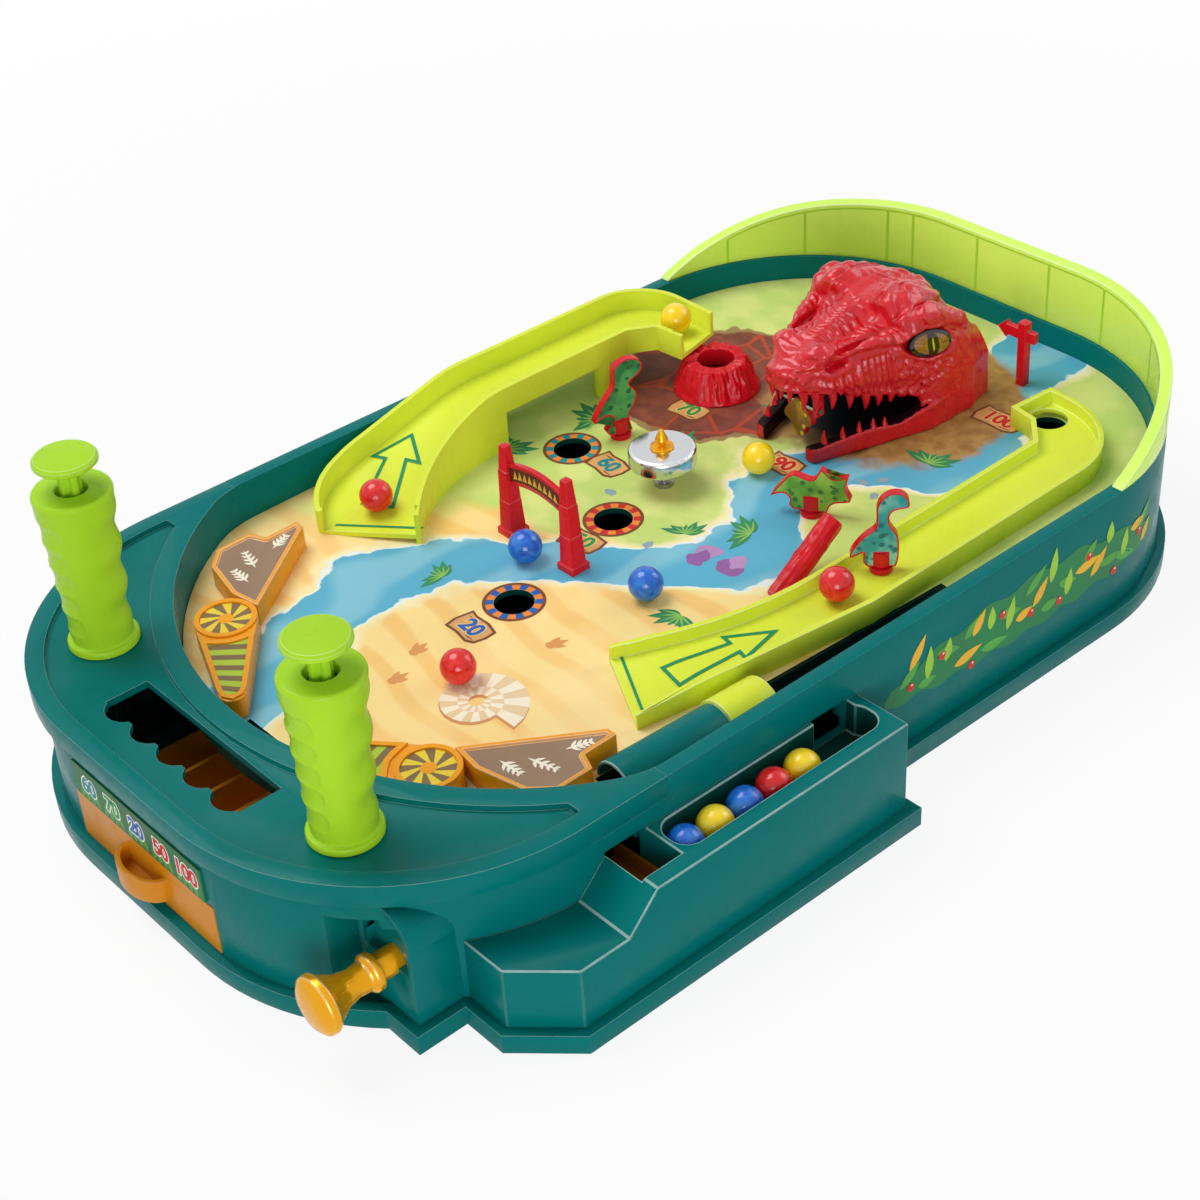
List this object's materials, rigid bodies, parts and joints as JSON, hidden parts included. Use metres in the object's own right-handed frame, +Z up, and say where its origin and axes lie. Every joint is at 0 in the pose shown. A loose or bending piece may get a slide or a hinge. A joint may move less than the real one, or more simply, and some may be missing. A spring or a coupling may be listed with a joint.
{
  "type": "tabletop pinball game",
  "caption": "Tabletop pinball game with flippers worked by thumb buttons on hand grips, a sprung plunger, ramps, score holes, a spinner, swinging figures and a score drawer below the field.",
  "frame": {"origin": "middle of the body's plan, on the table under the base plate", "axes": "+X to the player's right, +Y away from the player along the playfield, +Z up"},
  "size_m": [0.295, 0.473, 0.139],
  "materials": {
    "teal_body": "moulded satin gloss",
    "lime_plastic": "moulded gloss",
    "ramp_plastic": "moulded gloss",
    "shield_plastic": "clear tinted gloss",
    "red_plastic": "moulded gloss",
    "orange_plastic": "moulded gloss",
    "amber_plastic": "moulded satin",
    "gold_plastic": "metallic gloss",
    "eye_plastic": "printed gloss",
    "printed_board": "printed",
    "printed_card": "printed",
    "figure_plastic": "printed",
    "chrome_plastic": "plated",
    "spring_steel": "bright",
    "inner_plastic": "moulded",
    "ball_blue": "pearl gloss",
    "ball_red": "pearl gloss",
    "ball_yellow": "pearl gloss"
  },
  "bodies": {
    "body": {"base_plate": "teal_body", "base_screws": "spring_steel", "wall_shell": "teal_body", "front_deck": "teal_body", "ball_tray": "teal_body", "plunger_barrel": "teal_body", "playfield_board": "printed_board", "return_tray": "inner_plastic", "launch_chute": "amber_plastic", "feed_chute": "amber_plastic", "lane_cover": "teal_body", "lane_clip": "lime_plastic", "left_ramp": "ramp_plastic", "right_ramp": "ramp_plastic", "back_shield": "shield_plastic", "volcano": "red_plastic", "dino_head": "red_plastic", "dino_teeth": "red_plastic", "dino_eyes": "eye_plastic", "flap_pin": "spring_steel", "gate": "red_plastic", "left_guide": "orange_plastic", "right_guide": "orange_plastic", "leaning_log": "red_plastic", "sign_post": "red_plastic", "left_grip": "lime_plastic", "right_grip": "lime_plastic", "left_button_spring": "spring_steel", "right_button_spring": "spring_steel", "plunger_spring": "spring_steel", "score_strip": "printed_card", "spinner_pin": "spring_steel", "figure_pegs": "lime_plastic"},
    "left_button": {"left_button": "lime_plastic"},
    "right_button": {"right_button": "lime_plastic"},
    "left_slider": {"left_slider": "inner_plastic"},
    "right_slider": {"right_slider": "inner_plastic"},
    "left_flipper": {"left_flipper": "orange_plastic", "left_flipper_shaft": "inner_plastic"},
    "right_flipper": {"right_flipper": "orange_plastic", "right_flipper_shaft": "inner_plastic"},
    "plunger": {"plunger_rod": "gold_plastic", "plunger_knob": "gold_plastic"},
    "drawer": {"drawer": "amber_plastic"},
    "spinner": {"spinner_knob": "gold_plastic", "spinner_disc": "chrome_plastic"},
    "hunter_figure": {"hunter_figure": "figure_plastic"},
    "horned_figure": {"horned_figure": "figure_plastic"},
    "long_neck_figure": {"long_neck_figure": "figure_plastic"},
    "mouth_flap": {"mouth_flap": "figure_plastic"},
    "tray_balls": {"tray_balls_blue": "ball_blue", "tray_balls_yellow": "ball_yellow", "tray_ball_red": "ball_red"},
    "field_ball_left_blue": {"field_ball_left_blue": "ball_blue"},
    "field_ball_right_blue": {"field_ball_right_blue": "ball_blue"},
    "field_ball_red": {"field_ball_red": "ball_red"},
    "field_ball_yellow": {"field_ball_yellow": "ball_yellow"},
    "left_ramp_ball_red": {"left_ramp_ball_red": "ball_red"},
    "left_ramp_ball_yellow": {"left_ramp_ball_yellow": "ball_yellow"},
    "right_ramp_ball_red": {"right_ramp_ball_red": "ball_red"}
  },
  "joints": [
    {"name": "left_button_press", "type": "slide", "parent": "body", "child": "left_button", "axis": [0, 0, -1], "range_m": [0, 0.008], "stiffness_N_per_m": 150, "springref_m": -0.01, "deforming": ["left_button_spring"]},
    {"name": "left_slider_slide", "type": "slide", "parent": "body", "child": "left_slider", "axis": [0, -1, 0], "range_m": [0, 0.0081]},
    {"name": "left_flipper_swing", "type": "hinge", "parent": "body", "child": "left_flipper", "pos_m": [-0.062, -0.14729, 0.04342], "axis": [0, -0.0209, 0.9998], "range_deg": [0, 34.42]},
    {"name": "right_button_press", "type": "slide", "parent": "body", "child": "right_button", "axis": [0, 0, -1], "range_m": [0, 0.008], "stiffness_N_per_m": 150, "springref_m": -0.01, "deforming": ["right_button_spring"]},
    {"name": "right_slider_slide", "type": "slide", "parent": "body", "child": "right_slider", "axis": [0, -1, 0], "range_m": [0, 0.0081]},
    {"name": "right_flipper_swing", "type": "hinge", "parent": "body", "child": "right_flipper", "pos_m": [0.062, -0.14729, 0.04342], "axis": [0, 0.0209, -0.9998], "range_deg": [0, 34.42]},
    {"name": "plunger_pull", "type": "slide", "parent": "body", "child": "plunger", "axis": [0, -1, 0], "range_m": [0, 0.028], "stiffness_N_per_m": 120, "springref_m": -0.02, "deforming": ["plunger_spring"]},
    {"name": "drawer_slide", "type": "slide", "parent": "body", "child": "drawer", "axis": [0, -1, 0], "range_m": [0, 0.045]},
    {"name": "spinner_spin", "type": "hinge", "parent": "body", "child": "spinner", "pos_m": [-0.01847, 0.03688, 0.04727], "axis": [0, -0.0209, 0.9998], "continuous": true},
    {"name": "hunter_turn", "type": "hinge", "parent": "body", "child": "hunter_figure", "pos_m": [-0.05934, 0.04987, 0.04754], "axis": [0, -0.0209, 0.9998], "continuous": true},
    {"name": "horned_turn", "type": "hinge", "parent": "body", "child": "horned_figure", "pos_m": [0.04048, 0.06216, 0.0478], "axis": [0, -0.0209, 0.9998], "continuous": true},
    {"name": "long_neck_turn", "type": "hinge", "parent": "body", "child": "long_neck_figure", "pos_m": [0.09039, 0.04801, 0.04751], "axis": [0, -0.0209, 0.9998], "continuous": true},
    {"name": "mouth_flap_swing", "type": "hinge", "parent": "body", "child": "mouth_flap", "pos_m": [0, 0.097, 0.06754], "axis": [1, 0, 0], "range_deg": [-60, 60]},
    {"name": "tray_balls_lift", "type": "slide", "parent": "body", "child": "tray_balls", "axis": [0, 0, 1], "range_m": [0, 0.03]},
    {"name": "field_ball_left_blue_lift", "type": "slide", "parent": "body", "child": "field_ball_left_blue", "axis": [0, 0, 1], "range_m": [0, 0.03]},
    {"name": "field_ball_right_blue_lift", "type": "slide", "parent": "body", "child": "field_ball_right_blue", "axis": [0, 0, 1], "range_m": [0, 0.03]},
    {"name": "field_ball_red_lift", "type": "slide", "parent": "body", "child": "field_ball_red", "axis": [0, 0, 1], "range_m": [0, 0.03]},
    {"name": "field_ball_yellow_lift", "type": "slide", "parent": "body", "child": "field_ball_yellow", "axis": [0, 0, 1], "range_m": [0, 0.03]},
    {"name": "left_ramp_ball_red_lift", "type": "slide", "parent": "body", "child": "left_ramp_ball_red", "axis": [0, 0, 1], "range_m": [0, 0.03]},
    {"name": "left_ramp_ball_yellow_lift", "type": "slide", "parent": "body", "child": "left_ramp_ball_yellow", "axis": [0, 0, 1], "range_m": [0, 0.03]},
    {"name": "right_ramp_ball_red_lift", "type": "slide", "parent": "body", "child": "right_ramp_ball_red", "axis": [0, 0, 1], "range_m": [0, 0.03]}
  ],
  "couplings": [
    {"joint": "left_slider_slide", "follows": "left_button_press", "ratio": 1},
    {"joint": "left_flipper_swing", "follows": "left_button_press", "rad_per_m": 74.651},
    {"joint": "right_slider_slide", "follows": "right_button_press", "ratio": 1},
    {"joint": "right_flipper_swing", "follows": "right_button_press", "rad_per_m": 74.651}
  ]
}
